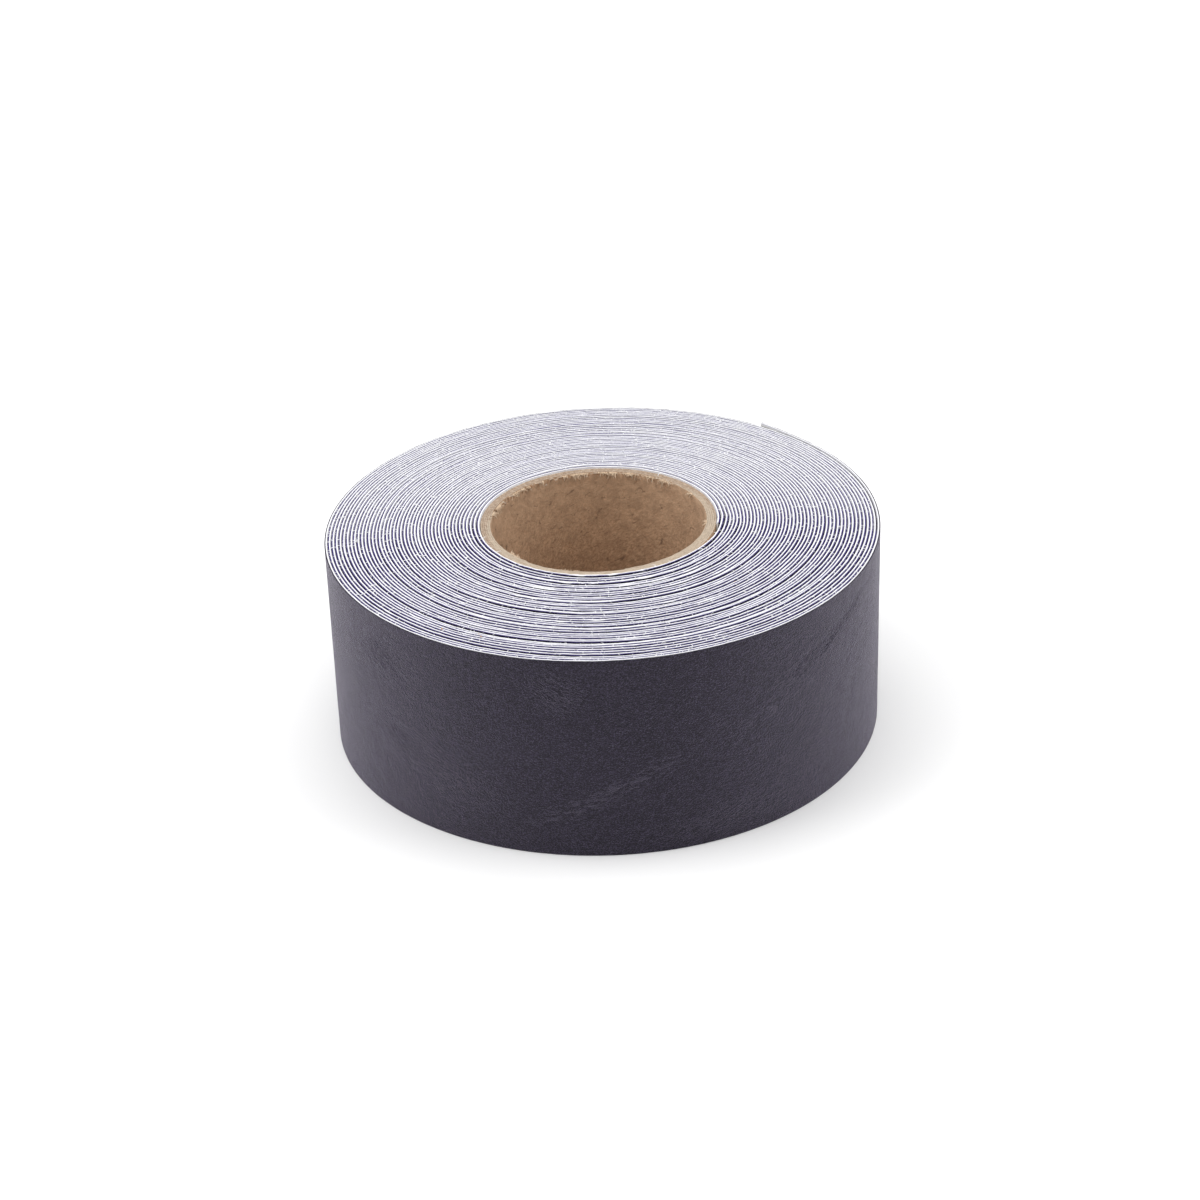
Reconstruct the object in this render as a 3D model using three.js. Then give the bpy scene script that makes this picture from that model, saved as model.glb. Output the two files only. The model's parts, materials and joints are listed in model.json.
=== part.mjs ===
// A roll of self-adhesive leather-look repair tape, standing on its flat end.
// Millimetres, +Z up, origin at the bottom centre of the roll, on the axis of its core.
//
// A paperboard core carries one long strip, wound outwards anticlockwise (seen from above).
// From outside to inside the strip is a dark leather-look film, a white fabric backing,
// a coat of adhesive and a paper release liner. The last sixth of a turn is the free tail.

import * as THREE from "three";

// Driving dimensions
const TAPE_WIDTH = 50;
const BORE_DIAMETER = 50.8;
const OUTER_DIAMETER = 131;
const PLY_THICKNESS = 0.48;
const STARTER_THICKNESS = 0.1;
const BOND_GAP = 0.01;
const CORE_CLEARANCE = 0.02;
const SEAM_GAP = 0.02;

// The strip's layers, from the core outwards
const LAYERS = [
  { name: "liner", thickness: 0.1 },
  { name: "adhesive", thickness: 0.05 },
  { name: "fabric", thickness: 0.3 },
  { name: "film", thickness: 0.28 },
];
const PLY_NAMES = ["inner", "second", "third", "fourth", "outer"];

// Winding: every turn is sampled at the same angles, so neighbouring facets stay parallel.
// The outer turn and the tail cut each of those facets into finer ones.
const FACETS_PER_TURN = 24;
const FACET_ANGLE = (2 * Math.PI) / FACETS_PER_TURN;
const OUTER_CUTS = 3;
const START_AZIMUTH = THREE.MathUtils.degToRad(-9);
const WOUND_TURNS = 43;
const TAIL_SEGMENTS = 4;
const STARTER_FACETS = 2;
const CORE_CURVE_SEGMENTS = 24;

// Derived sizes
const LAYER_SUM = LAYERS.reduce((sum, layer) => sum + layer.thickness, 0);
const TAPE_THICKNESS = LAYER_SUM + (LAYERS.length - 1) * BOND_GAP;
const CORE_RADIUS = BORE_DIAMETER / 2 + PLY_NAMES.length * (PLY_THICKNESS + BOND_GAP) - BOND_GAP;
const STARTER_RADIUS = (CORE_RADIUS + CORE_CLEARANCE) / Math.cos(FACET_ANGLE / 2);
const FIRST_RADIUS = STARTER_RADIUS + STARTER_THICKNESS + BOND_GAP;
const WOUND_FACETS = WOUND_TURNS * FACETS_PER_TURN;
const TAIL_ROOT_FACET = WOUND_FACETS + FACETS_PER_TURN;
const LAST_FACET = TAIL_ROOT_FACET + TAIL_SEGMENTS;
const PITCH = ((OUTER_DIAMETER / 2 - FIRST_RADIUS - TAPE_THICKNESS) * FACETS_PER_TURN) / LAST_FACET;

const MATERIALS = {
  board: new THREE.MeshStandardMaterial({ color: 0xb39a7d, roughness: 0.9, metalness: 0 }),
  starter: new THREE.MeshStandardMaterial({ color: 0xd9c98f, roughness: 0.5, metalness: 0 }),
  laminate: new THREE.MeshStandardMaterial({ color: 0xb9b9c4, roughness: 0.85, metalness: 0 }),
  liner: new THREE.MeshStandardMaterial({ color: 0xf0efe9, roughness: 0.6, metalness: 0 }),
  adhesive: new THREE.MeshStandardMaterial({ color: 0xe6e2d2, roughness: 0.35, metalness: 0 }),
  fabric: new THREE.MeshStandardMaterial({ color: 0xe2e2e8, roughness: 0.95, metalness: 0 }),
  film: new THREE.MeshStandardMaterial({ color: 0x34323a, roughness: 0.55, metalness: 0 }),
};

// Radius of the strip's inner face at a distance along the winding, counted in facets.
function windingRadius(facet) {
  return FIRST_RADIUS + (PITCH * facet) / FACETS_PER_TURN;
}

function pointAt(radius, angle) {
  return new THREE.Vector2(radius * Math.cos(angle), radius * Math.sin(angle));
}

// Outline of a band that lies from inset to outset above the strip's inner face,
// between two facet counts, with cuts points to a facet. Its ends stand back by half a seam.
function bandOutline(fromFacet, toFacet, inset, outset, cuts = 1) {
  const inner = [];
  const outer = [];
  const steps = (toFacet - fromFacet) * cuts;
  for (let step = 0; step <= steps; step += 1) {
    const facet = fromFacet + step / cuts;
    const radius = windingRadius(facet);
    const halfSeam = SEAM_GAP / 2 / radius;
    let angle = START_AZIMUTH + facet * FACET_ANGLE;
    if (step === 0) angle += halfSeam;
    if (step === steps) angle -= halfSeam;
    inner.push(pointAt(radius + inset, angle));
    outer.push(pointAt(radius + outset, angle));
  }
  return new THREE.Shape([...inner, ...outer.reverse()]);
}

function ringOutline(innerRadius, outerRadius) {
  const ring = new THREE.Shape();
  ring.absarc(0, 0, outerRadius, 0, 2 * Math.PI, false);
  const hole = new THREE.Path();
  hole.absarc(0, 0, innerRadius, 0, 2 * Math.PI, true);
  ring.holes.push(hole);
  return ring;
}

// An upright solid of the tape's width from an outline in plan.
function upright(name, outline, material) {
  const geometry = new THREE.ExtrudeGeometry(outline, {
    depth: TAPE_WIDTH,
    bevelEnabled: false,
    curveSegments: CORE_CURVE_SEGMENTS,
  });
  const mesh = new THREE.Mesh(geometry, material);
  mesh.name = name;
  return mesh;
}

// Paperboard core: concentric plies glued one on the next.
function makeCore() {
  const core = new THREE.Group();
  PLY_NAMES.forEach((plyName, index) => {
    const innerRadius = BORE_DIAMETER / 2 + index * (PLY_THICKNESS + BOND_GAP);
    const outline = ringOutline(innerRadius, innerRadius + PLY_THICKNESS);
    core.add(upright(`core_${plyName}_ply`, outline, MATERIALS.board));
  });
  return core;
}

// The sticky strip that holds the first turn on the core.
function makeStarter() {
  const inset = STARTER_RADIUS - FIRST_RADIUS;
  const outline = bandOutline(0, STARTER_FACETS, inset, inset + STARTER_THICKNESS);
  return upright("starter_strip", outline, MATERIALS.starter);
}

// The inner turns, with their four layers kept together as one laminate.
function makeWoundTape() {
  return upright("wound_tape", bandOutline(0, WOUND_FACETS, 0, TAPE_THICKNESS), MATERIALS.laminate);
}

// One length of the strip with its layers as separate solids.
function makeLayeredLength(prefix, fromFacet, toFacet) {
  const length = new THREE.Group();
  let inset = 0;
  for (const layer of LAYERS) {
    const outline = bandOutline(fromFacet, toFacet, inset, inset + layer.thickness, OUTER_CUTS);
    length.add(upright(`${prefix}_${layer.name}`, outline, MATERIALS[layer.name]));
    inset += layer.thickness + BOND_GAP;
  }
  return length;
}

function makeTail() {
  const tail = new THREE.Group();
  for (let segment = 0; segment < TAIL_SEGMENTS; segment += 1) {
    const from = TAIL_ROOT_FACET + segment;
    tail.add(makeLayeredLength(`tail_${segment + 1}`, from, from + 1));
  }
  return tail;
}

const roll = new THREE.Group();
roll.add(makeCore());
roll.add(makeStarter());
roll.add(makeWoundTape());
roll.add(makeLayeredLength("outer_turn", WOUND_FACETS, TAIL_ROOT_FACET));
roll.add(makeTail());

export default roll;
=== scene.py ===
"""A roll of leather-look repair tape on its paperboard core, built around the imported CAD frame."""

import json
import math

import bpy
import numpy as np
from mathutils import Matrix, Vector


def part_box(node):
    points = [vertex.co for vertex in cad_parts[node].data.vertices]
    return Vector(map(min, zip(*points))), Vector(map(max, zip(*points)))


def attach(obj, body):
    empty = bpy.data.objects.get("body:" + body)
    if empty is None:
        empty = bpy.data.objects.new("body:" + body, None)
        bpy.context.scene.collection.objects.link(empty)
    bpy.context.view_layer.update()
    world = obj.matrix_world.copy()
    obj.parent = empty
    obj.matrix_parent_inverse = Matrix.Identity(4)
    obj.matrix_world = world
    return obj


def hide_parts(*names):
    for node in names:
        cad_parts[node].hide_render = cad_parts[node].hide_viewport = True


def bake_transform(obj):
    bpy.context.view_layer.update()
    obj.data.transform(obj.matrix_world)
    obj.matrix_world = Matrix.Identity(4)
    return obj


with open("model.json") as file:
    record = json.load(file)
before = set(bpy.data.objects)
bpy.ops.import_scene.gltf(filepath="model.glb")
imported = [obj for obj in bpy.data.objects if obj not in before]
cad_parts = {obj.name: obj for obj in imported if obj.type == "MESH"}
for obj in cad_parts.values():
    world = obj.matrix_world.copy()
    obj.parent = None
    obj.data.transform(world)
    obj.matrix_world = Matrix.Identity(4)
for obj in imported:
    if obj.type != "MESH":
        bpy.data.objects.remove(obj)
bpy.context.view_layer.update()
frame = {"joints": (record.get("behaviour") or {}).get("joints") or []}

MM = 0.001
FULL_TURN = 2 * math.pi

# Layers of the tape: how far inner and outer face lie above the strip's inner face
LINER = (0.0 * MM, 0.10 * MM)
ADHESIVE = (0.11 * MM, 0.16 * MM)
FABRIC = (0.17 * MM, 0.47 * MM)
FILM = (0.48 * MM, 0.76 * MM)
TAPE = FILM[1]

# The core and the start of the tail, from the frame
JOINTS = {joint["name"]: joint for joint in frame["joints"]}
ROOT_HINGE = Vector(JOINTS["tail_lift_1"]["pos_m"])
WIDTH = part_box("core_inner_ply")[1].z
PLIES = ["inner", "second", "third", "fourth", "outer"]
CORE_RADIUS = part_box("core_outer_ply")[1].x
PLY_STEP = (CORE_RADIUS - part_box("core_inner_ply")[1].x) / (len(PLIES) - 1)
BORE_RADIUS = CORE_RADIUS - PLY_STEP * len(PLIES)
START = math.atan2(ROOT_HINGE.y, ROOT_HINGE.x)
# Turns counted on the photo's end face, up to the tail's root
TURNS = 44
WOUND = TURNS - 1
# Room under the first turn, which holds the starter strip
FIRST_GAP = 0.37 * MM
FIRST_RADIUS = CORE_RADIUS + FIRST_GAP
PITCH = (math.hypot(ROOT_HINGE.x, ROOT_HINGE.y) - TAPE - FIRST_RADIUS) / TURNS

# The tail: a hinge at the root of each of its four segments, and cuts halfway between the hinges
SEGMENTS = range(4)
SEGMENT_DEGREES = 15


def past_root(degrees):
    """Turns wound at an angle past the tail's root."""
    return TURNS + degrees / 360


HINGES = [past_root(SEGMENT_DEGREES * number) for number in SEGMENTS]
TAIL_END = past_root(SEGMENT_DEGREES * len(SEGMENTS))
CUTS = [past_root(0)] + [past_root(SEGMENT_DEGREES * (number + 0.5)) for number in SEGMENTS]


# Places along the strip
def arc_length(turns):
    """Length of strip wound up to a number of turns."""
    return FULL_TURN * (FIRST_RADIUS * turns + PITCH * turns * turns / 2)


def turns_at(along):
    """Turns wound by a length of strip."""
    return (np.sqrt(FIRST_RADIUS**2 + along * PITCH / math.pi) - FIRST_RADIUS) / PITCH


STRIP_LENGTH = arc_length(TAIL_END)


def steps(first, last, spacing):
    """Turn counts from first to last, about a spacing apart along the strip."""
    start, end = arc_length(first), arc_length(last)
    return turns_at(np.linspace(start, end, max(2, round((end - start) / spacing)) + 1))


def turn_near(whole, azimuth):
    """Turns wound where the strip passes an azimuth in degrees, counted on from a whole turn."""
    return whole + (math.radians(azimuth) - START) / FULL_TURN


def turn_share(azimuth):
    """Share of a turn, from 0 to 1, between the strip's start and an azimuth in degrees."""
    return (math.radians(azimuth) - START) % FULL_TURN / FULL_TURN


def bell(value, centre, spread):
    return np.exp(-(((value - centre) / spread) ** 2))


def smooth(value, low, high):
    share = np.clip((value - low) / (high - low), 0, 1)
    return share * share * (3 - 2 * share)


def degrees_from(degrees, centre):
    """Degrees from a centre, from -180 to 180."""
    return (degrees - centre + 180) % 360 - 180


def facing(along, centre, spread):
    """From 0 to 1, highest where the strip passes an azimuth, both in degrees."""
    degrees = np.degrees(START + FULL_TURN * turns_at(along))
    return bell(degrees_from(degrees, centre), 0, spread)


SPARE_KNOTS = 20
FIRST_KNOT = 6


def wander(seed, along, spacing):
    """Smooth random values from -1 to 1 along the strip, with a new value about every spacing."""
    knots = np.random.default_rng(seed).uniform(-1, 1, int(STRIP_LENGTH / spacing) + SPARE_KNOTS)
    place = np.asarray(along) / spacing + FIRST_KNOT
    # Two slow waves move the knots by up to 5.3 places, so that they aren't evenly spaced
    place = place + 2.4 * np.sin(place / 4 + seed) + 2.9 * np.sin(place / 9.7 + 2 * seed)
    index = np.floor(place).astype(int)
    share = smooth(place - index, 0, 1)
    return knots[index] * (1 - share) + knots[index + 1] * share


# Shape of the winding: first the share of a turn in which the strip steps up over its own start,
# and the turns in which that fades
START_STEP = (0.88, 0.985)
START_STEP_FADE = 5
# The first turns lie closer to the core, and the middle ones closer than even winding would have them
FIRST_SINK = 0.30 * MM
FIRST_SINK_FADE = 4
MIDDLE_SINK = 0.35 * MM
# Uneven slack between turns: size and spacing
SLACK = 0.045 * MM
SLACK_SPACING = 0.27
# The tip of the tail stands off the roll
TIP_DEGREES = 13
TIP_RISE = 1.0 * MM
# Bulges of the inner turns over the tape's start: azimuth, turn, height, width in degrees, spread in turns
KINKS = [
    (-2.0, 2.3, 0.20, 4.0, 2.4),
    (-8.0, 4.6, 0.17, 4.5, 2.8),
    (-16.0, 7.0, 0.10, 7.0, 3.0),
]
# Slow out-of-round waves of all turns: waves per turn, height, phase, phase change per metre of radius
WAVES = [
    (2, 0.10, 0.4, 20),
    (3, 0.07, 2.1, -35),
    (5, 0.045, 4.0, 60),
    (9, 0.025, 1.2, -90),
    (14, 0.015, 5.1, 140),
]
# The core sits off the middle, because the turns are wound tighter at the back than at the front
CORE_SHIFT = (-0.6 * MM, 1.8 * MM)
# The outer turns flare towards the floor at the lower left: size, azimuth and spread in degrees
FLARE = 0.75 * MM
FLARE_AZIMUTH = 203
FLARE_SPREAD = 38


def winding_radius(turns):
    """Radius of the strip's inner face."""
    turns = np.asarray(turns, float)
    azimuth = START + FULL_TURN * turns
    whole = np.floor(turns)
    stepped = whole + smooth(turns - whole, *START_STEP)
    climb = turns + (stepped - turns) * np.exp(-turns / START_STEP_FADE)
    radius = FIRST_RADIUS + PITCH * climb - FIRST_SINK * np.exp(-turns / FIRST_SINK_FADE)
    radius = radius - MIDDLE_SINK * np.sin(math.pi * np.clip(turns / TURNS, 0, 1))
    loose = (1 - smooth(turns, WOUND - 0.6, WOUND)) * smooth(turns, 0.2, 1.5)
    radius = radius + loose * SLACK * wander(17, arc_length(turns), SLACK_SPACING)
    degrees = degrees_from(np.degrees(azimuth), 0)
    for peak, turn, height, width, spread in KINKS:
        radius = radius + height * MM * bell(degrees, peak, width) * bell(turns, turn, spread)
    settled = smooth(turns, 0.5, 4) * (1 - smooth(turns, TURNS - 3, TURNS))
    for count, height, phase, change in WAVES:
        radius = radius + settled * height * MM * np.sin(count * azimuth + phase + change * radius)
    lifted = np.clip((turns - TAIL_END) * 360 / TIP_DEGREES + 1, 0, 1)
    return radius + TIP_RISE * lifted**2


def to_world(turns, offset, height):
    """Points at a number of turns, above the strip's inner face by an offset."""
    turns = np.asarray(turns, float)
    azimuth = START + FULL_TURN * turns
    flare = bell(degrees_from(np.degrees(azimuth), FLARE_AZIMUTH), 0, FLARE_SPREAD) * (turns / TURNS) ** 2
    radius = winding_radius(turns) + offset + FLARE * flare * (1 - height / WIDTH)
    inward = np.clip(1 - turns / WOUND, 0, 1)
    across = radius * np.cos(azimuth) + CORE_SHIFT[0] * inward
    deep = radius * np.sin(azimuth) + CORE_SHIFT[1] * inward
    return np.stack([across, deep, height], axis=-1)


def strip_point(turns):
    """The middle of the strip at a number of turns."""
    return tuple(to_world(np.array(turns), np.array(TAPE / 2), np.array(WIDTH / 2)))


# Meshes
def solid(name, points, faces_of, attributes=None, sharp=50):
    """A mesh object from points, lists of same-sized faces, and vectors to keep at each point.

    Edges of more than sharp degrees are shown as edges."""
    mesh = bpy.data.meshes.new(name)
    mesh.vertices.add(len(points))
    mesh.vertices.foreach_set("co", points.astype(np.float32).ravel())
    corners = np.concatenate([group.ravel() for group in faces_of])
    totals = np.concatenate([np.full(len(group), group.shape[1]) for group in faces_of])
    mesh.loops.add(len(corners))
    mesh.loops.foreach_set("vertex_index", corners.astype(np.int32))
    mesh.polygons.add(len(totals))
    mesh.polygons.foreach_set("loop_start", (np.cumsum(totals) - totals).astype(np.int32))
    mesh.polygons.foreach_set("loop_total", totals.astype(np.int32))
    mesh.polygons.foreach_set("use_smooth", np.ones(len(totals), bool))
    mesh.update(calc_edges=True)
    for key, values in (attributes or {}).items():
        attribute = mesh.attributes.new(key, "FLOAT_VECTOR", "POINT")
        attribute.data.foreach_set("vector", values.astype(np.float32).ravel())
    mesh.validate()
    mesh.set_sharp_from_angle(angle=math.radians(sharp))
    made = bpy.data.objects.new(name, mesh)
    bpy.context.scene.collection.objects.link(made)
    return made


def skin_faces(rings, corners, closed=False):
    """Outward faces around a row of rings, with caps at its ends unless it closes on itself."""
    count = rings if closed else rings - 1
    start = (np.arange(count) * corners)[:, None]
    following = ((np.arange(count) + 1) % rings * corners)[:, None]
    here = np.arange(corners)[None, :]
    there = (here + 1) % corners
    sides = [start + here, following + here, following + there, start + there]
    quads = np.stack(sides, axis=-1).reshape(-1, 4)
    if closed:
        return [quads]
    last = (rings - 1) * corners + here
    return [quads, here, last[:, ::-1]]


def stack(*columns):
    """Columns side by side; a single number fills its column."""
    length = max(np.size(column) for column in columns)
    return np.stack([np.broadcast_to(column, (length,)) for column in columns], axis=1)


def band(name, turns, offsets, heights, painted_crease_light=None):
    """A length of one layer. Its section goes anticlockwise, with outwards to the right."""
    offsets, heights = np.broadcast_arrays(offsets, heights)
    rings, corners = offsets.shape
    wound = np.repeat(turns[:, None], corners, axis=1)
    points = to_world(wound, offsets, heights).reshape(-1, 3)
    along = arc_length(wound)
    attributes = {"strip": np.stack([along, offsets, heights], axis=-1).reshape(-1, 3)}
    if painted_crease_light is not None:
        attributes["painted_crease_light"] = painted_crease_light(along, heights).reshape(-1, 3)
    return solid(name, points, skin_faces(rings, corners), attributes)


def bevelled(layer, low, top, across, up):
    """Offsets and heights of a layer's section, with bevels at its four corners."""
    inner, outer = layer
    near, far = inner + across, outer - across
    offsets = stack(inner, near, far, outer, outer, far, near, inner)
    heights = stack(low + up, low, low, low + up, top - up, top, top, top - up)
    return offsets, heights


# The strip's uneven edges, with sizes in mm until the last step and spacings along the strip in metres.
FRONT = 270
BACK = 90
# Arcs where a turn stands clear above the next one and shows as a bold line: turn, from and to azimuth
CLEAR_ARCS = [
    (41, 268, 330), (39, 205, 338), (37, 236, 300), (36, 262, 345),
    (34, 190, 285), (32, 285, 350), (31, 246, 372), (29, 232, 305),
    (25, 200, 262), (23, 270, 335), (20, 215, 268), (17, 252, 340),
    (14, 262, 352), (10, 196, 250), (8, 286, 356), (5, 300, 345),
]
CLEAR_FADE = 0.05


def clear(along):
    """From 0 to 1 in the arcs where a turn stands clear."""
    turns = turns_at(along)
    level = 0
    for turn, start, end in CLEAR_ARCS:
        first, last = turn_near(turn, start), turn_near(turn, end)
        rising = smooth(turns, first, first + CLEAR_FADE)
        level = level + rising * (1 - smooth(turns, last - CLEAR_FADE, last))
    return np.clip(level, 0, 1)


def turn_lift(along):
    """How far the strip's upper edge stands above the width of the tape."""
    every_other = np.cos(math.pi * (turns_at(along) - 0.775)) * facing(along, FRONT + 10, 75)
    slow = 0.13 * wander(11, along, 0.31) + 0.035 * wander(12, along, 0.041)
    inside = 1 - smooth(turns_at(along), TURNS - 1.5, TURNS - 1)
    return (slow + inside * (0.075 * every_other + 0.18 * clear(along))) * MM


def film_top(along):
    """Height of the film's upper edge, which stands a little higher at the back."""
    rough = 0.025 * wander(15, along, 0.0035) + 0.015 * wander(16, along, 0.0012)
    return WIDTH + turn_lift(along) + (rough - 0.05 + 0.07 * facing(along, BACK, 65)) * MM


def film_low(along):
    """Height of the film's lower edge."""
    return (0.09 + 0.02 * wander(35, along, 0.003)) * MM


def frayed_lip(turns, along):
    """How far the backing's frayed edge leans out: most at the front, least on the outer turn."""
    clump = np.maximum(0, wander(28, along, 0.007) + 0.30)
    lip = 0.01 + 0.04 * wander(23, along, 0.012) + 0.30 * clump * wander(24, along, 0.0018)
    lip = np.clip(lip, 0, 0.32) * (0.18 + 0.82 * facing(along, FRONT, 55))
    return lip * (1 - 0.6 * clear(along)) * (1 - 0.85 * smooth(turns, WOUND - 0.6, WOUND)) * MM


# Lengths of the tape's layers
def make_liner(name, first, last):
    turns = steps(first, last, 1.5 * MM)
    along = arc_length(turns)
    top = WIDTH + turn_lift(along) + (0.05 * wander(31, along, 0.005) - 0.34) * MM
    low = (0.05 + 0.02 * wander(32, along, 0.008)) * MM
    return band(name, turns, *bevelled(LINER, low, top, 0.02 * MM, 0.03 * MM))


def make_adhesive(name, first, last):
    turns = steps(first, last, 1.8 * MM)
    along = arc_length(turns)
    top = WIDTH + turn_lift(along) + (0.03 * wander(33, along, 0.004) - 0.38) * MM
    low = (0.07 + 0.02 * wander(34, along, 0.006)) * MM
    inner, outer = ADHESIVE
    return band(name, turns, stack(inner, outer, outer, inner), stack(low, low, top, top))


def make_fabric(name, first, last):
    """A length of backing, whose upper edge leans out over the film."""
    turns = steps(first, last, 0.75 * MM)
    along = arc_length(turns)
    fuzz = 0.05 * wander(21, along, 0.0016) + 0.04 * wander(22, along, 0.006)
    top = WIDTH + turn_lift(along) + (0.035 + fuzz) * MM
    under = np.maximum(top - 0.11 * MM, film_top(along) + 0.01 * MM)
    low = (0.02 + 0.02 * wander(26, along, 0.003)) * MM
    nap = (0.02 + 0.02 * wander(25, along, 0.002)) * MM
    lip = frayed_lip(turns, along)
    inner, outer = FABRIC
    middle = (inner + outer) / 2
    foot = [(inner, 0.15 * MM), (inner + nap, low), (outer - nap, low), (outer, 0.15 * MM)]
    edge = [(outer, under - 0.12 * MM), (outer + lip, under), (outer + 0.75 * lip, top)]
    back = [(middle, top + nap), (inner, top - nap), (inner, top - 0.14 * MM)]
    offsets, heights = zip(*foot, *edge, *back)
    return band(name, turns, stack(*offsets), stack(*heights))


def make_film(name, first, last):
    """A length of film of which only the cut edges show."""
    turns = steps(first, last, 1.2 * MM)
    along = arc_length(turns)
    bevel = 0.04 * MM
    return band(name, turns, *bevelled(FILM, film_low(along), film_top(along), bevel, bevel))


# Creases of the leather-look skin: azimuth, share of the width, half sizes of the patch in mm,
# direction in degrees from the horizontal (anticlockwise seen from outside), length in mm, depth in mm, count
CREASE_PATCHES = [
    (221, 0.80, 5.0, 4.5, 160, 3.0, 0.080, 22),
    (224, 0.43, 5.0, 3.5, 162, 3.0, 0.065, 12),
    (213, 0.66, 3.0, 9.0, 120, 3.4, 0.050, 10),
    (312, 0.75, 5.0, 2.2, 20, 3.0, 0.085, 14),
    (323, 0.83, 9.0, 2.4, 17, 3.4, 0.075, 16),
    (334, 0.91, 4.0, 2.0, 20, 3.0, 0.055, 8),
    (269, 0.32, 11.0, 3.0, 27, 4.2, 0.045, 16),
    (260, 0.84, 5.0, 4.0, 130, 2.4, 0.040, 14),
    (303, 0.58, 7.0, 2.5, 24, 4.0, 0.040, 10),
    (245, 0.60, 14.0, 9.0, 58, 3.6, 0.024, 18),
    (330, 0.50, 12.0, 12.0, 66, 3.6, 0.030, 16),
    (20, 0.55, 20.0, 14.0, 60, 4.0, 0.040, 22),
    (75, 0.45, 20.0, 14.0, 40, 4.0, 0.040, 22),
    (120, 0.62, 22.0, 12.0, 70, 4.0, 0.040, 22),
    (165, 0.50, 22.0, 14.0, 50, 4.0, 0.040, 22),
]
CREASE_SWING = 17
# Fine creases all over the skin
FINE_CREASES = 260
# A crease is a groove between two low rims: half width and fading at its ends
GROOVE = (0.42 * MM, 0.9 * MM)
RIMS = (1.3 * MM, 1.5 * MM)
RIM_SHARE = 0.45
CREASE_REACH = 3 * MM
# Slow waves of the skin: length along the strip, length up the strip, phase
SWELLS = [(0.021, 0.030, 0.6), (0.034, -0.022, 2.0), (0.013, 0.051, 4.1), (0.0087, -0.018, 5.2)]
SWELL = 0.006 * MM


def turned(right, up, angle):
    """Distances along and across a direction."""
    return right * math.cos(angle) + up * math.sin(angle), up * math.cos(angle) - right * math.sin(angle)


def make_creases():
    """Lines pressed into the skin: place along the strip, height, direction, half length, depth, bend."""
    random = np.random.default_rng(41)
    rows = []
    for azimuth, share, wide, tall, direction, length, depth, count in CREASE_PATCHES:
        beyond = turn_share(azimuth)
        turn = TURNS + beyond if beyond < TAIL_END - TURNS else WOUND + beyond
        for _ in range(count):
            along = arc_length(turn) + random.normal(0, wide * MM)
            height = WIDTH * share + random.normal(0, tall * MM)
            angle = math.radians(direction + random.normal(0, CREASE_SWING))
            half = length * MM * random.uniform(0.25, 0.8)
            deep = depth * MM * random.uniform(0.4, 1.1)
            rows.append((along, height, angle, half, deep, random.normal(0, 0.25)))
    for _ in range(FINE_CREASES):
        along = random.uniform(arc_length(WOUND), STRIP_LENGTH)
        height = random.uniform(0.03, 0.97) * WIDTH
        angle = math.radians(random.normal(55, 35))
        half = random.uniform(0.6, 2.2) * MM
        deep = random.uniform(0.008, 0.022) * MM
        rows.append((along, height, angle, half, deep, random.normal(0, 0.3)))
    return rows


CREASES = make_creases()


def pressed(along, height):
    """Depth of the skin's creases at points of the skin."""
    depth = np.zeros(np.broadcast(along, height).shape)
    for place, level, angle, half, deep, bend in CREASES:
        near = np.abs(along[:, 0] - place) < half + CREASE_REACH
        if not near.any():
            continue
        run, off = turned(along[near] - place, height[near] - level, angle)
        off = off - bend * run * run / half
        past = np.maximum(np.abs(run) - half, 0)
        for share, (wide, fade) in ((1, GROOVE), (-RIM_SHARE, RIMS)):
            depth[near] += share * deep * bell(off, 0, wide) * bell(past, 0, fade)
    return depth


def swell(along, height):
    """Slow waves of the skin."""
    total = 0
    for length, tall, phase in SWELLS:
        total = total + np.sin(FULL_TURN * (along / length + height / tall) + phase)
    return total * SWELL


# Patches of creases with painted light: azimuth, share of the width, half length and half width in mm, tilt
# in degrees, then the amounts of fine crease lines with painted shade that rise to the right, of those that
# fall, and of pale hatching with painted highlight
CREASE_LIGHT_PATCHES = [
    (221, 0.80, 8.0, 5.0, -15, 0.0, 1.0, 0.0),
    (224, 0.42, 8.0, 4.0, -15, 0.0, 1.0, 0.0),
    (212, 0.62, 4.0, 10.0, 0, 0.0, 0.6, 0.2),
    (238, 0.30, 12.0, 6.0, -10, 0.0, 0.35, 0.2),
    (260, 0.84, 6.0, 5.0, -40, 0.0, 0.7, 0.2),
    (324, 0.84, 17.0, 1.6, 17, 1.0, 0.0, 0.0),
    (318, 0.79, 9.0, 1.3, 17, 1.0, 0.0, 0.0),
    (312, 0.75, 5.0, 2.2, 18, 1.0, 0.0, 0.0),
    (330, 0.62, 14.0, 6.0, 20, 0.45, 0.0, 0.25),
    (269, 0.32, 19.0, 2.4, 27, 0.35, 0.0, 1.0),
    (303, 0.60, 9.0, 2.2, 22, 0.0, 0.0, 1.0),
    (292, 0.12, 14.0, 4.0, 8, 0.4, 0.0, 0.3),
    (350, 0.35, 14.0, 4.0, 24, 0.6, 0.0, 0.3),
    (15, 0.70, 20.0, 4.0, 20, 0.9, 0.0, 0.3),
    (40, 0.35, 18.0, 5.0, -20, 0.0, 0.8, 0.4),
    (72, 0.66, 22.0, 4.0, 24, 0.8, 0.0, 0.8),
    (100, 0.30, 16.0, 5.0, -16, 0.0, 0.9, 0.2),
    (128, 0.74, 20.0, 4.0, -22, 0.0, 0.8, 0.6),
    (158, 0.42, 20.0, 5.0, 18, 0.8, 0.0, 0.4),
    (188, 0.76, 14.0, 4.0, -18, 0.0, 0.8, 0.3),
]


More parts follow.
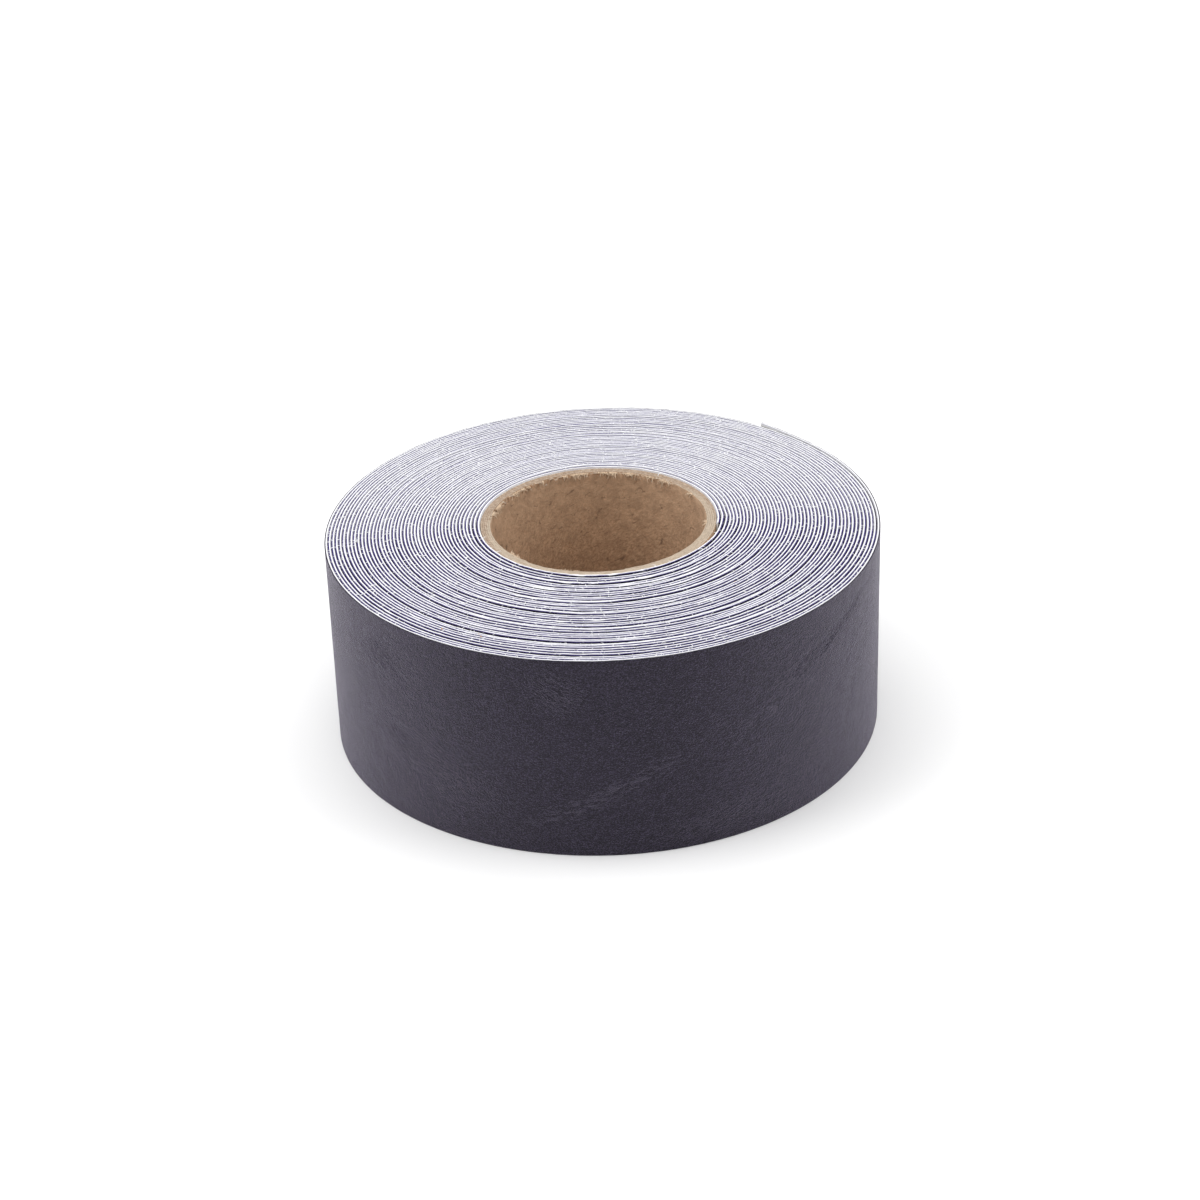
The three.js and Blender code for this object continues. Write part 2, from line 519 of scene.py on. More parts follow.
def painted_crease_light(along, height):
    """Amounts of the two kinds of crease lines with painted shade, and of pale hatching with painted
    highlight, at points of the skin.
    """
    total = np.zeros(along.shape + (3,))
    for azimuth, share, long, wide, tilt, *amounts in CREASE_LIGHT_PATCHES:
        turn = WOUND + turn_share(azimuth)
        for centre in (arc_length(turn), arc_length(turn + 1)):
            run, off = turned(along - centre, height - WIDTH * share, math.radians(tilt))
            near = bell(run, 0, long * MM) * bell(off, 0, wide * MM)
            total += near[..., None] * np.array(amounts)
    return np.clip(total, 0, 1)


SKIN_STEP = 0.5 * MM
SKIN_ROWS = round(WIDTH / SKIN_STEP) - 1


def make_skin(name, first, last):
    """A length of film whose outer face shows, with its creases."""
    turns = steps(first, last, SKIN_STEP)
    along = arc_length(turns)
    low, top = film_low(along), film_top(along)
    inner, outer = FILM
    bevel = 0.05 * MM
    shoulder = np.full(len(turns), outer - 0.3 * bevel)
    share = np.linspace(0, 1, SKIN_ROWS)[None, :]
    face_height = (low + 2 * bevel)[:, None] * (1 - share) + (top - 2 * bevel)[:, None] * share
    face_along = np.repeat(along[:, None], SKIN_ROWS, axis=1)
    depth = pressed(face_along, face_height) + swell(face_along, face_height)
    face_offset = outer - depth * smooth(share, 0, 0.03) * (1 - smooth(share, 0.97, 1))
    foot = stack(inner, inner + bevel, outer - bevel, shoulder)
    head = stack(shoulder, outer - bevel, inner + bevel, inner)
    offsets = np.concatenate([foot, face_offset, head], axis=1)
    foot = stack(low + bevel, low, low, low + 0.4 * bevel)
    head = stack(top - 0.4 * bevel, top, top, top - bevel)
    heights = np.concatenate([foot, face_height, head], axis=1)
    return band(name, turns, offsets, heights, painted_crease_light)


# Shader nodes
def add(tree, kind, sockets=None, **settings):
    """A node with its settings, and its sockets set or linked."""
    made = tree.nodes.new(kind)
    for key, value in settings.items():
        setattr(made, key, value)
    for key, value in (sockets or {}).items():
        if isinstance(value, bpy.types.NodeSocket):
            tree.links.new(value, made.inputs[key])
        else:
            made.inputs[key].default_value = value
    return made


def new_material(name):
    made = bpy.data.materials.new(name)
    made.use_nodes = True
    return made, made.node_tree, made.node_tree.nodes["Principled BSDF"]


def stretched(tree, vector, stretch):
    return add(tree, "ShaderNodeVectorMath", {0: vector, 1: stretch}, operation="MULTIPLY").outputs[0]


def strip_mm(tree, stretch=(1, 1, 1)):
    """Coordinates that go with the strip, in millimetres."""
    place = add(tree, "ShaderNodeAttribute", attribute_name="strip").outputs["Vector"]
    return stretched(tree, place, tuple(part / MM for part in stretch))


def object_mm(tree):
    """Coordinates of the object, in millimetres."""
    place = add(tree, "ShaderNodeTexCoord").outputs["Object"]
    return stretched(tree, place, (1 / MM, 1 / MM, 1 / MM))


def noise(tree, vector, scale, detail=3, rough=0.55, distortion=0.0):
    values = {
        "Vector": vector, "Scale": scale, "Detail": detail, "Roughness": rough, "Distortion": distortion,
    }
    return add(tree, "ShaderNodeTexNoise", values).outputs[0]


def remap(tree, value, low, high, start=0.0, end=1.0):
    values = {"Value": value, "From Min": low, "From Max": high, "To Min": start, "To Max": end}
    return add(tree, "ShaderNodeMapRange", values).outputs["Result"]


def math_node(tree, operation, *values):
    return add(tree, "ShaderNodeMath", dict(enumerate(values)), operation=operation).outputs[0]


def scaled(tree, value, share):
    return math_node(tree, "MULTIPLY", value, share)


def weighted(tree, *parts):
    """Sum of values, each times its share."""
    total = None
    for value, share in parts:
        part = scaled(tree, value, share)
        total = part if total is None else math_node(tree, "ADD", total, part)
    return total


def largest(tree, first, *others):
    for other in others:
        first = math_node(tree, "MAXIMUM", first, other)
    return first


def mix(tree, share, first, second):
    return add(tree, "ShaderNodeMix", {0: share, 6: first, 7: second}, data_type="RGBA").outputs[2]


def facing_up(tree):
    """1 on flat cut edges, 0 on upright faces."""
    normal = add(tree, "ShaderNodeNewGeometry").outputs["Normal"]
    up = add(tree, "ShaderNodeSeparateXYZ", {0: normal}).outputs["Z"]
    return remap(tree, math_node(tree, "ABSOLUTE", up), 0.45, 0.75)


def bump(tree, height, distance, strength=1.0, normal=None):
    values = {"Height": height, "Distance": distance, "Strength": strength}
    if normal is not None:
        values["Normal"] = normal
    return add(tree, "ShaderNodeBump", values).outputs[0]


def plug(tree, shader, **sockets):
    """Links values to the shader's colour, roughness and normal."""
    names = {"color": "Base Color", "rough": "Roughness", "normal": "Normal"}
    for key, value in sockets.items():
        tree.links.new(value, shader.inputs[names[key]])


def set_inputs(node, values):
    for key, value in values.items():
        node.inputs[key].default_value = value


def lean_lines(tree, place, degrees, scale):
    """Fine wandering lines that lean by an angle from the horizontal: their field and the lines."""
    turn = {"Vector": place, "Rotation": (0, math.radians(degrees), 0)}
    leaning = stretched(tree, add(tree, "ShaderNodeMapping", turn).outputs[0], (0.30, 1, 1))
    level = noise(tree, leaning, scale, 3, 0.55, 0.35)
    away = math_node(tree, "ABSOLUTE", math_node(tree, "SUBTRACT", level, 0.5))
    return level, remap(tree, away, 0.012, 0.060, 1.0, 0.0)


# Materials
def leather_material():
    """Grained dark film with creases; painted shade darkens the crease lines and the grain's hollows, painted
    highlight lightens the grain's high points and the raised pale hatching.
    """
    skin_low, skin_high = (0.0065, 0.0045, 0.0110, 1), (0.0120, 0.0090, 0.0190, 1)
    # The first colour of this pair is painted shade for the grain's hollows, the second a painted highlight
    # on the grain's high points
    painted_pore_shade, painted_glint = (0.0030, 0.0020, 0.0055, 1), (0.0520, 0.0430, 0.0740, 1)
    # The first colour of this pair is a painted highlight for the raised pale hatching, the second painted
    # shade for the crease lines
    painted_ridge_highlight, painted_crease_shade = (0.095, 0.086, 0.118, 1), (0.0022, 0.0015, 0.0045, 1)
    cut_low, cut_high = (0.0045, 0.0035, 0.0085, 1), (0.0120, 0.0100, 0.0200, 1)
    made, tree, shader = new_material("leather_film")
    place = strip_mm(tree)
    # Amounts of crease lines with painted shade (X and Y) and of pale hatching with painted highlight (Z)
    patch = add(tree, "ShaderNodeAttribute", attribute_name="painted_crease_light").outputs["Vector"]
    amounts = add(tree, "ShaderNodeSeparateXYZ", {0: patch}).outputs
    cells = {"Vector": place, "Scale": 1.9, "Randomness": 1.0}
    ridge = add(tree, "ShaderNodeTexVoronoi", cells, feature="DISTANCE_TO_EDGE").outputs["Distance"]
    pebble = remap(tree, ridge, 0.0, 0.30)
    grain = noise(tree, place, 2.9, 3, 0.68)
    medium = noise(tree, place, 0.42, 4, 0.6)
    broad = noise(tree, place, 0.05, 3, 0.55)
    rise_level, rise = lean_lines(tree, place, 20, 1.35)
    fall_level, fall = lean_lines(tree, place, -28, 1.6)
    side = remap(tree, noise(tree, place, 0.035, 1, 0.5), 0.44, 0.56)
    sides = {0: side, 2: rise_level, 3: fall_level}
    hatch = add(tree, "ShaderNodeMix", sides, data_type="FLOAT").outputs[0]
    faint = scaled(tree, rise, remap(tree, medium, 0.46, 0.62, 0.0, 0.22))
    # Crease lines: grooves in the bump, and painted shade in the colour
    shaded_crease = largest(tree, scaled(tree, rise, amounts["X"]), scaled(tree, fall, amounts["Y"]), faint)
    # Raised pale hatching, lightened in colour as a painted highlight
    pale = scaled(tree, remap(tree, rise_level, 0.52, 0.62), amounts["Z"])

    tone = weighted(tree, (broad, 0.6), (medium, 0.4))
    speck = weighted(tree, (grain, 0.86), (hatch, 0.14))
    color = mix(tree, remap(tree, tone, 0.38, 0.62), skin_low, skin_high)
    # Painted shade: the grain's hollows are darkened in colour
    color = mix(tree, remap(tree, speck, 0.50, 0.42, 0.0, 0.92), color, painted_pore_shade)
    # Painted highlight: the grain's high points are lightened in colour
    color = mix(tree, remap(tree, speck, 0.50, 0.60, 0.0, 0.85), color, painted_glint)
    # Painted highlight: the raised hatching is lightened in colour
    color = mix(tree, scaled(tree, pale, 0.42), color, painted_ridge_highlight)
    # Painted shade: the crease lines are darkened in colour
    color = mix(tree, scaled(tree, shaded_crease, 0.88), color, painted_crease_shade)
    color = mix(tree, facing_up(tree), color, mix(tree, grain, cut_low, cut_high))

    rough = remap(tree, math_node(tree, "ADD", medium, grain), 0.6, 1.4, 0.30, 0.50)
    rough = largest(tree, rough, scaled(tree, shaded_crease, 0.85), facing_up(tree))
    parts = [(pebble, 0.03), (grain, 0.40), (hatch, 0.10), (medium, 0.34), (shaded_crease, -0.28), (pale, 0.06)]
    plug(tree, shader, color=color, rough=rough, normal=bump(tree, weighted(tree, *parts), MM))
    set_inputs(shader, {"Specular IOR Level": 0.29, "Specular Tint": (0.92, 0.86, 1.0, 1)})
    set_inputs(shader, {"Sheen Weight": 0.40, "Sheen Roughness": 0.25, "Sheen Tint": (0.82, 0.74, 1.0, 1)})
    return made


def film_edge_material():
    """The film's cut edge on the end face."""
    low, high = (0.034, 0.025, 0.105, 1), (0.080, 0.062, 0.225, 1)
    upright = (0.012, 0.010, 0.018, 1)
    made, tree, shader = new_material("film_cut_edge")
    grain = noise(tree, strip_mm(tree), 3.0, 4, 0.6)
    color = mix(tree, remap(tree, grain, 0.35, 0.65), low, high)
    color = mix(tree, facing_up(tree), upright, color)
    rough = remap(tree, grain, 0.3, 0.7, 0.85, 1.0)
    plug(tree, shader, color=color, rough=rough, normal=bump(tree, grain, 0.03 * MM, 0.7))
    set_inputs(shader, {"Specular IOR Level": 0.15})
    return made


def fabric_material():
    """White fibres in clumps."""
    low, high, clumped = (0.66, 0.66, 0.705, 1), (0.90, 0.90, 0.93, 1), (0.86, 0.86, 0.89, 1)
    made, tree, shader = new_material("white_backing")
    fibre = noise(tree, strip_mm(tree, (1.6, 3, 1.2)), 2.4, 4, 0.7)
    clump = noise(tree, strip_mm(tree), 0.5, 3, 0.6)
    color = mix(tree, remap(tree, fibre, 0.3, 0.7), low, high)
    color = mix(tree, remap(tree, clump, 0.35, 0.7), color, clumped)
    rough = remap(tree, fibre, 0.3, 0.7, 0.85, 1.0)
    plug(tree, shader, color=color, rough=rough, normal=bump(tree, fibre, 0.06 * MM, 0.8))
    set_inputs(shader, {"Sheen Weight": 0.15, "Sheen Roughness": 0.5})
    return made


def paper_material(name, low, high, cut, rough):
    """A thin coat or paper whose cut edges, which sit recessed between the turns, are coloured darker as
    painted shade.
    """
    made, tree, shader = new_material(name)
    cloud = noise(tree, strip_mm(tree), 0.7, 4, 0.6)
    color = mix(tree, remap(tree, cloud, 0.3, 0.7), low, high)
    # Painted shade: the recessed cut edges are darker and greyer than the faces
    color = mix(tree, facing_up(tree), color, cut)
    rough = remap(tree, cloud, 0.3, 0.7, rough - 0.06, rough + 0.06)
    plug(tree, shader, color=color, rough=rough, normal=bump(tree, cloud, 0.015 * MM, 0.5))
    return made


def board_material():
    """Kraft paperboard: flecked brown faces, painted lighter towards the top as light falling into the bore,
    and a two-toned cut end.
    """
    low, high = (0.310, 0.194, 0.116, 1), (0.60, 0.400, 0.255, 1)
    shade, spot = (tuple(share * part for part in low[:3]) + (1,) for share in (0.80, 0.42))
    cut_inside, cut_outside = (0.400, 0.325, 0.245, 1), (0.300, 0.215, 0.155, 1)
    cut_fibre = (0.52, 0.42, 0.32, 1)
    made, tree, shader = new_material("kraft_board")
    place = object_mm(tree)
    slant = add(tree, "ShaderNodeMapping", {"Vector": place, "Rotation": (0.5, 0.4, 0.6)}).outputs[0]
    slant = stretched(tree, slant, (0.45, 1, 1))
    fibres = noise(tree, slant, 2.2, 4, 0.72)
    cloud = noise(tree, place, 0.42, 5, 0.66, 0.6)
    fleck = noise(tree, slant, 0.75, 4, 0.6, 0.8)
    level = add(tree, "ShaderNodeSeparateXYZ", {0: place}).outputs["Z"]
    color = mix(tree, remap(tree, fibres, 0.36, 0.64), low, high)
    # Painted light: the faces are lightened towards the top, where light falls into the bore
    color = mix(tree, remap(tree, level, 26, WIDTH / MM, 0.0, 0.75), color, high)
    color = mix(tree, remap(tree, cloud, 0.42, 0.62, 0.0, 0.40), color, shade)
    color = mix(tree, remap(tree, fleck, 0.60, 0.72, 0.0, 0.75), color, spot)

    flat = stretched(tree, place, (1, 1, 0))
    radius = add(tree, "ShaderNodeVectorMath", {0: flat}, operation="LENGTH").outputs["Value"]
    radius = math_node(tree, "ADD", radius, scaled(tree, cloud, 1.6))
    change = remap(tree, radius, BORE_RADIUS / MM + 2.0, BORE_RADIUS / MM + 2.5)
    cut = mix(tree, change, cut_inside, cut_outside)
    cut = mix(tree, remap(tree, fibres, 0.44, 0.66), cut, cut_fibre)
    color = mix(tree, facing_up(tree), color, cut)
    rough = remap(tree, fibres, 0.3, 0.7, 0.82, 0.96)
    normal = bump(tree, cloud, 0.6 * MM, 0.6, bump(tree, fibres, 0.16 * MM, 0.8))
    plug(tree, shader, color=color, rough=rough, normal=normal)
    return made


def fibre_material(name, low, high):
    made, tree, shader = new_material(name)
    grain = noise(tree, object_mm(tree), 1.2, 3)
    color = mix(tree, remap(tree, grain, 0.3, 0.7), low, high)
    plug(tree, shader, color=color, rough=remap(tree, grain, 0.3, 0.7, 0.7, 0.95))
    return made


LEATHER = leather_material()
FILM_EDGE = film_edge_material()
BACKING = fabric_material()
# The last colour of the adhesive and of the liner is painted shade for their recessed cut edges
GLUE = paper_material("adhesive", (0.64, 0.62, 0.54, 1), (0.74, 0.71, 0.62, 1), (0.40, 0.40, 0.44, 1), 0.4)
PAPER = paper_material(
    "release_liner", (0.76, 0.75, 0.72, 1), (0.84, 0.83, 0.80, 1), (0.55, 0.55, 0.61, 1), 0.6)
BOARD = board_material()
FIBRE = fibre_material("loose_fibre", (0.80, 0.80, 0.82, 1), (0.92, 0.92, 0.93, 1))
TORN = fibre_material("torn_kraft", (0.46, 0.33, 0.22, 1), (0.68, 0.53, 0.38, 1))
LINT = fibre_material("brown_lint", (0.30, 0.13, 0.05, 1), (0.62, 0.36, 0.17, 1))


def finish_piece(made, material, body=None, nodes=()):
    """Gives a piece its material, slot and body, and hides the CAD nodes that it replaces."""
    made.data.materials.append(material)
    if body:
        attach(made, body)
    if nodes:
        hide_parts(*nodes)


# Core: five plies with cut ends, the inner one torn at the front and ragged at the back
PLY_POINTS = 720
PLY_ROWS = 26
# How far the cut end lies below the tape's, how far the inner ply's end is worn back, and the tear's depth
CORE_DROP = 0.32 * MM
INNER_STEP = 0.14 * MM
TEAR_DEPTH = 2.2 * MM


def ring_noise(random, azimuth, low, high):
    """Random waves round a ring, from low to high waves a turn, with a spread of about 0.7."""
    total = np.zeros_like(azimuth)
    for count in range(low, high):
        wave = random.normal() * np.cos(count * azimuth + random.uniform(0, FULL_TURN))
        total += wave / math.sqrt(high - low)
    return total


def tear_end(random, azimuth, top, step_in):
    """The inner ply's end: a torn stretch at the front and ragged teeth at the back."""
    degrees = np.degrees(azimuth)
    torn = smooth(degrees, 228, 236) * (1 - smooth(degrees, 281, 282.5))
    ragged = smooth(degrees, 40, 62) * (1 - smooth(degrees, 166, 178))
    tatter = np.abs(ring_noise(random, azimuth, 24, 150)) + 0.5 * ring_noise(random, azimuth, 6, 30)
    top = top - torn * (TEAR_DEPTH + 0.5 * MM * ring_noise(random, azimuth, 5, 90))
    teeth = 0.35 * ring_noise(random, azimuth, 60, 200) + 0.45 * ring_noise(random, azimuth, 16, 60)
    top = top - ragged * np.clip(0.12 * tatter + np.maximum(teeth, 0) * 1.6, 0.0, 1.5) * MM
    return top, step_in + ragged * np.clip(teeth, -0.45, 0.30) * MM


def make_ply(index, name):
    random = np.random.default_rng(60 + index)
    azimuth = np.linspace(0, FULL_TURN, PLY_POINTS, endpoint=False)
    inner = BORE_RADIUS + PLY_STEP * index
    outer = inner + PLY_STEP - 0.01 * MM
    top = WIDTH - CORE_DROP + 0.03 * MM * ring_noise(random, azimuth, 3, 60)
    step_in = np.zeros(PLY_POINTS)
    if index == 0:
        top, step_in = tear_end(random, azimuth, top, step_in + INNER_STEP)
    share = np.linspace(0, 1, PLY_ROWS)
    bulge = ring_noise(random, azimuth, 2, 14)[:, None] * 0.03 * MM * np.sin(share * 5 + index)[None, :]
    bore = inner + bulge * smooth(share, 0, 0.1)[None, :] * (1 - smooth(share, 0.9, 1))[None, :]
    bore_heights = np.outer(top - 0.5 * MM, share) + 0.25 * MM
    lip = (0.04 + 0.02 * ring_noise(random, azimuth, 8, 80)) * MM
    radii = stack(inner + 0.05 * MM, outer, outer, inner + lip + step_in)
    radii = np.concatenate([radii, bore[:, ::-1]], axis=1)
    heights = stack(0.0, 0.0, top - 0.02 * MM, top)
    heights = np.concatenate([heights, bore_heights[:, ::-1]], axis=1)
    across = radii * np.cos(azimuth)[:, None] + CORE_SHIFT[0]
    deep = radii * np.sin(azimuth)[:, None] + CORE_SHIFT[1]
    points = np.stack([across, deep, heights], axis=-1).reshape(-1, 3)
    faces = skin_faces(PLY_POINTS, radii.shape[1], closed=True)
    made = solid(f"core_ply_{index + 1}", points, faces, sharp=40)
    finish_piece(made, BOARD, "roll", [f"core_{name}_ply"])


for number, ply in enumerate(PLIES):
    make_ply(number, ply)


# Tape: the inner turns, the outer turn, and the tail in its segments.
# The wound backing is cut in two at this turn, to keep its meshes small.
FABRIC_SPLIT = 26


def make_roll_lengths(layer, make_inner, make_outer, inner_material, outer_material):
    """The wound tape and the outer turn of one layer."""
    split = FABRIC_SPLIT if layer == "fabric" else WOUND
    made = make_inner(f"wound_{layer}", 0, split)
    finish_piece(made, inner_material, "roll", ["wound_tape"])
    if split < WOUND:
        made = make_inner(f"wound_{layer}_outer", split, WOUND)
        finish_piece(made, inner_material, "roll", ["wound_tape"])
    made = make_outer(f"outer_{layer}", WOUND, TURNS)
    finish_piece(made, outer_material, "roll", [f"outer_turn_{layer}"])


def make_bend(layer, make_length, material, number):
    """A length that spans one hinge, from cut to cut; the liner's last one stops at the hinge."""
    at_flap = layer == "liner" and number == SEGMENTS[-1]
    end = HINGES[number] if at_flap else CUTS[number + 1]
    made = make_length(f"tail_{number + 1}_{layer}_bend", CUTS[number], end)
    node = "tail_3_liner" if at_flap else f"tail_{number + 1}_{layer}"
    finish_piece(made, material, None, [node])
    first, last = strip_point(CUTS[number]), strip_point(CUTS[number + 1])
    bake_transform(made)
    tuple(first)
    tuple(last)


def make_tail_end(layer, make_length, material):
    """The last length rides on tail_4; the liner's runs from the hinge on and rides on no body."""
    if layer == "liner":
        made = make_length("liner_flap", HINGES[-1], TAIL_END)
        finish_piece(made, material, None, ["tail_4_liner"])
        strip_point(HINGES[-1])
        strip_point(CUTS[-1])
        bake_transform(made)
    else:
        made = make_length(f"tail_end_{layer}", CUTS[-1], TAIL_END)
        finish_piece(made, material, "tail_4")


def make_layer(layer, make_inner, make_outer, inner_material, outer_material):
    """All lengths of one layer, from the core to the tail's end."""
    make_roll_lengths(layer, make_inner, make_outer, inner_material, outer_material)
    for number in SEGMENTS:
        make_bend(layer, make_outer, outer_material, number)
    make_tail_end(layer, make_outer, outer_material)


make_layer("liner", make_liner, make_liner, PAPER, PAPER)
make_layer("adhesive", make_adhesive, make_adhesive, GLUE, GLUE)
make_layer("fabric", make_fabric, make_fabric, BACKING, BACKING)
make_layer("film", make_film, make_skin, FILM_EDGE, LEATHER)


def make_starter():
    """The sticky strip under the tape's start."""
    turns = steps(0, 30 / 360, 1.5 * MM)
    inner, outer = -0.05 * MM, -0.01 * MM
    low, top = np.full(len(turns), 1.0 * MM), WIDTH - 0.4 * MM
    made = band("starter_tab", turns, stack(inner, outer, outer, inner), stack(low, low, top, top))
    finish_piece(made, GLUE, "roll", ["starter_strip"])


make_starter()

# Loose fibres: thickness from root to tip, share of the backing's that point outwards, number of the core's
HAIR_TAPER = np.array([1.0, 0.9, 0.8, 0.62, 0.3])
TORN_TAPER = np.array([1.0, 1.0, 0.85, 0.6, 0.25])
OUTWARD_SHARE = 0.72
TORN_FIBRES = 560


def tubes(name, paths, radii, sides=4):
    """Thin closed tubes along paths (count, points, 3), with a radius at each point."""
    count, points, _ = paths.shape
    forward = np.gradient(paths, axis=1)
    forward /= np.linalg.norm(forward, axis=2, keepdims=True) + 1e-12
    up = np.zeros_like(forward)
    up[..., 2] = 1
    side = np.cross(forward, up)
    side /= np.linalg.norm(side, axis=2, keepdims=True) + 1e-12
    up = np.cross(side, forward)
    angle = np.arange(sides) * FULL_TURN / sides
    circle = side[:, :, None] * np.cos(angle)[:, None] + up[:, :, None] * np.sin(angle)[:, None]
    vertices = paths[:, :, None] + circle * radii[:, :, None, None]
    base = (np.arange(count) * points * sides)[:, None]
    parts = skin_faces(points, sides)
    groups = [(base + part.reshape(1, -1)).reshape(-1, part.shape[1]) for part in parts]
    return solid(name, vertices.reshape(-1, 3), groups, sharp=80)


def make_fibres(name, seed, count, length, thick, rise, ends, spread):
    """Fibres that leave the backing's cut edge and lie across the turns beside it.

    length, thick, rise and ends are ranges in mm, the last two of the arch and of the free end's
    height; spread is that of the directions, in radians."""
    random = np.random.default_rng(seed)
    along = random.uniform(arc_length(0.5), arc_length(TURNS - 0.02), count)
    direction = np.where(random.uniform(size=count) < OUTWARD_SHARE, 1.0, -1.0)
    # Those of the last turn point inwards, so that none hangs over the wall
    direction = np.where(along > arc_length(WOUND - 0.02), -1.0, direction)
    reach = random.uniform(*length, count) * MM
    skew = random.normal(0, spread, count)
    share = np.linspace(0, 1, len(HAIR_TAPER))[None, :]
    sway = random.normal(0, 0.25, (count, 1)) * np.sin(share * math.pi) * reach[:, None]
    out = direction[:, None] * reach[:, None] * share * np.cos(skew)[:, None]
    sideways = reach[:, None] * share * np.sin(skew)[:, None] + sway
    arch = 4 * share * (1 - share) * random.uniform(*rise, (count, 1)) * MM
    root = WIDTH + turn_lift(along)[:, None] + 0.02 * MM
    height = root + arch + share * random.uniform(*ends, (count, 1)) * MM
    middle = (FABRIC[0] + FABRIC[1]) / 2
    turns = turns_at(np.clip(along[:, None] + sideways, arc_length(0.1), arc_length(TURNS - 0.01)))
    paths = to_world(turns, middle + out, height)
    radii = random.uniform(*thick, (count, 1)) * MM * HAIR_TAPER
    finish_piece(tubes(name, paths, radii), FIBRE, "roll")


def make_core_fibres():
    """Torn paper fibres along the bore's upper edge, in tufts: most at the back."""
    random = np.random.default_rng(81)
    count = TORN_FIBRES
    tufts = np.append(random.uniform(46, 170, 38), random.uniform(192, 402, 9))
    azimuth = np.radians(random.choice(tufts, count) + random.normal(0, 1.1, count))
    share = np.linspace(0, 1, len(TORN_TAPER))[None, :]
    reach = random.uniform(0.4, 1.15, (count, 1)) ** 2 * MM
    drop = random.uniform(0.0, 1.25, (count, 1)) ** 2 * MM
    radius = BORE_RADIUS + 0.22 * MM - reach * share
    swing = azimuth[:, None] + random.normal(0, 0.6, (count, 1)) * reach * share / BORE_RADIUS
    height = WIDTH - CORE_DROP - 0.02 * MM - drop * share**1.5
    across = radius * np.cos(swing) + CORE_SHIFT[0]
    deep = radius * np.sin(swing) + CORE_SHIFT[1]
    radii = random.uniform(0.05, 0.15, (count, 1)) * MM * TORN_TAPER
    made = tubes("core_fibres", np.stack([across, deep, height], axis=-1), radii)
    finish_piece(made, TORN, "roll")


# Short threads on the end face: azimuth, distance from the axis, length and thickness in mm
BROWN_SPECKS = [
    (234, 60.6, 0.55, 0.14), (243, 59.6, 0.45, 0.12), (242, 58.7, 0.35, 0.10), (312, 44.0, 0.35, 0.08),
]
WHITE_THREADS = [
    (58, 27.6, 1.7, 0.09), (318, 62.0, 1.4, 0.07), (205, 52.0, 1.2, 0.06), (262, 33.5, 1.5, 0.07),
]


def make_lint(name, seed, places, material):
    """Short curled threads that lie on the end face."""
    random = np.random.default_rng(seed)
    paths, radii = [], []
    for azimuth, distance, length, thick in places:
        angle = math.radians(azimuth)
        heading = random.uniform(0, FULL_TURN)
        share = np.linspace(-0.5, 0.5, 7)
        run = share * length * MM
        curl = 0.35 * length * MM * share**2 * 4
        across = distance * MM * math.cos(angle) + run * math.cos(heading) - curl * math.sin(heading)
        deep = distance * MM * math.sin(angle) + run * math.sin(heading) + curl * math.cos(heading)
        height = WIDTH + (0.30 + thick) * MM + 0.1 * length * MM * (1 - 4 * share**2)
        paths.append(np.stack([across, deep, height], axis=-1))
        radii.append(thick * MM * np.sqrt(1.05 - 4 * share**2))
    finish_piece(tubes(name, np.array(paths), np.array(radii), sides=6), material, "roll")


make_fibres("backing_hairs", 71, 9000, (0.25, 0.8), (0.018, 0.032), (0.02, 0.14), (-0.05, 0.12), 0.8)
make_fibres("backing_tufts", 72, 2400, (0.4, 1.3), (0.05, 0.10), (0.04, 0.14), (-0.04, 0.08), 0.5)
make_core_fibres()
make_lint("brown_specks", 91, BROWN_SPECKS, LINT)
make_lint("white_threads", 92, WHITE_THREADS, FIBRE)


# Room: floor, light and camera
FLOOR_HALF = 6.0
LIGHT_SIZE = 1.6
FRONT_LIGHT_SIZE = 1.3
CAMERA_DISTANCE = 0.6106
CAMERA_ELEVATION = math.radians(29.13)
CAMERA_ROLL = math.radians(-2.34)
CAMERA_LENS = 76.34
CAMERA_SENSOR = 36.0
AIM_UP = math.radians(0.3355)
AIM_LEFT = math.radians(0.094)
MIDDLE = Vector((0, 0, WIDTH / 2))


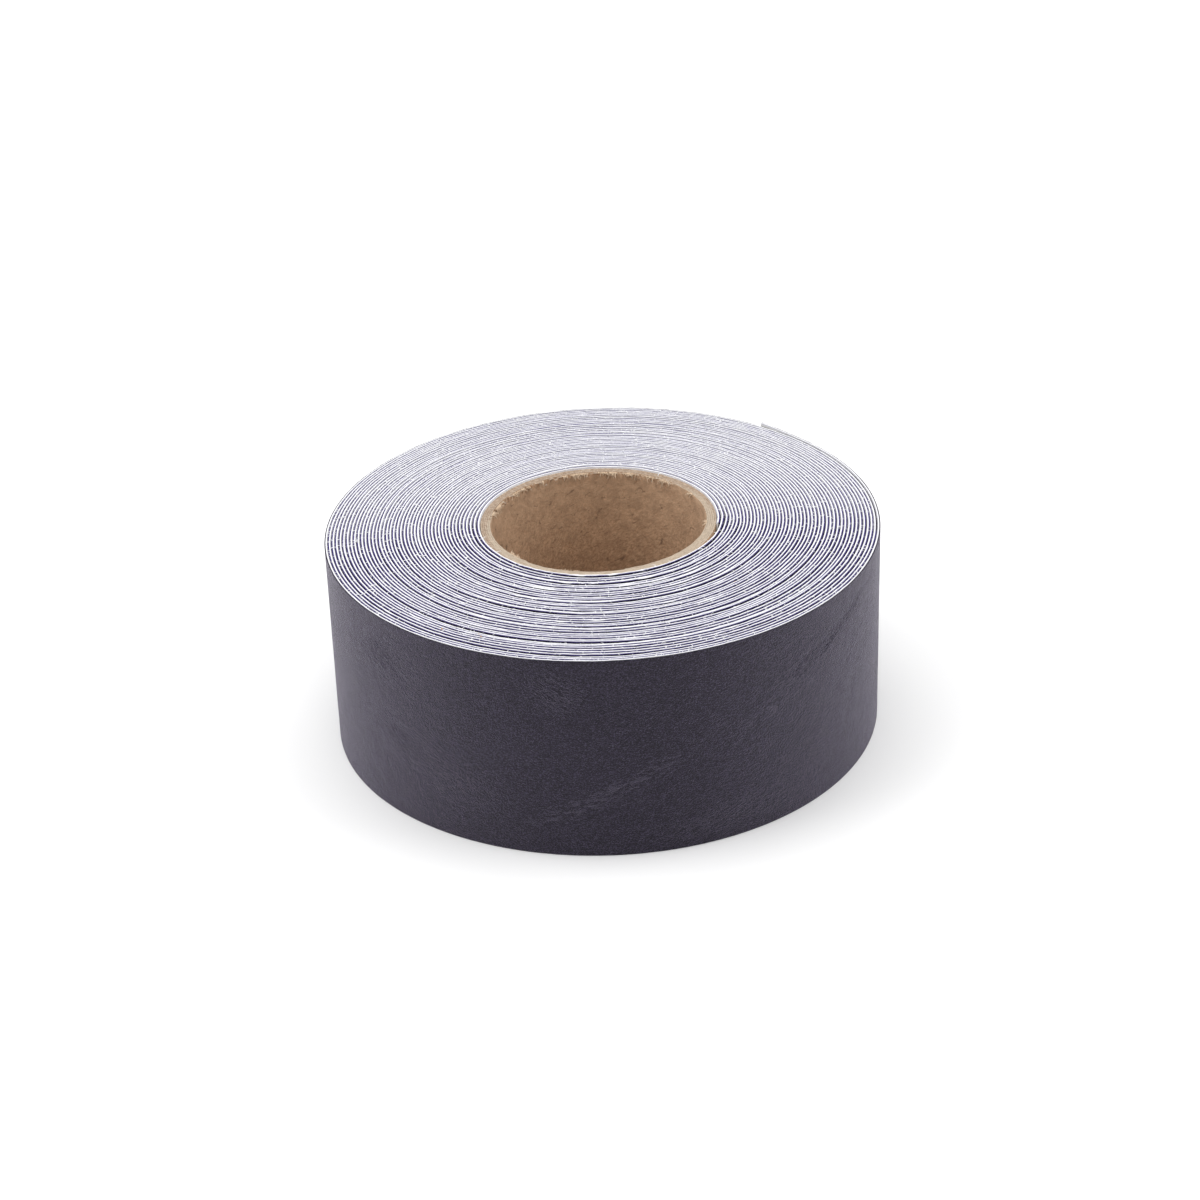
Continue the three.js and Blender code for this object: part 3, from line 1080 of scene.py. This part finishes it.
def make_floor():
    corners = np.array([[-1, -1, 0], [1, -1, 0], [1, 1, 0], [-1, 1, 0]]) * FLOOR_HALF
    made = solid("floor", corners, [np.array([[0, 1, 2, 3]])])
    material, _, shader = new_material("pale_floor")
    pale = (0.95, 0.95, 0.95, 1)
    set_inputs(shader, {"Base Color": pale, "Roughness": 0.9, "Specular IOR Level": 0.2})
    made.data.materials.append(material)


def make_world():
    world = bpy.data.worlds.new("studio")
    world.use_nodes = True
    set_inputs(world.node_tree.nodes["Background"], {"Color": (1.0, 1.0, 1.0, 1), "Strength": 0.50})
    bpy.context.scene.world = world


def area_light(name, place, size, power):
    """A square light aimed at the roll."""
    light = bpy.data.lights.new(name, "AREA")
    light.shape = "RECTANGLE"
    light.size = light.size_y = size
    light.energy = power
    made = bpy.data.objects.new(name, light)
    made.location = place
    made.rotation_mode = "QUATERNION"
    made.rotation_quaternion = (MIDDLE - Vector(place)).to_track_quat("-Z", "Y")
    bpy.context.scene.collection.objects.link(made)


def make_camera():
    """The photo's camera, from the fit to the roll's outline."""
    lens = bpy.data.cameras.new("camera")
    lens.lens = CAMERA_LENS
    lens.sensor_width = CAMERA_SENSOR
    camera = bpy.data.objects.new("camera", lens)
    bpy.context.scene.collection.objects.link(camera)
    back = Vector((0, -math.cos(CAMERA_ELEVATION), math.sin(CAMERA_ELEVATION)))
    camera.location = MIDDLE + back * CAMERA_DISTANCE
    aim = (-back).to_track_quat("-Z", "Y").to_matrix()
    for angle, axis in ((AIM_LEFT, "Y"), (AIM_UP, "X"), (CAMERA_ROLL, "Z")):
        aim = aim @ Matrix.Rotation(angle, 3, axis)
    camera.rotation_mode = "QUATERNION"
    camera.rotation_quaternion = aim.to_quaternion()
    bpy.context.scene.camera = camera


make_floor()
make_world()
area_light("key", (-1.5, 0.0, 1.7), LIGHT_SIZE, 24)
area_light("fill", (1.6, 0.1, 1.6), LIGHT_SIZE, 19)
area_light("over", (0.0, 0.5, 2.0), LIGHT_SIZE, 18)
area_light("front", (0.2, -1.9, 1.15), FRONT_LIGHT_SIZE, 7)
make_camera()
bpy.context.scene.view_settings.view_transform = "Standard"
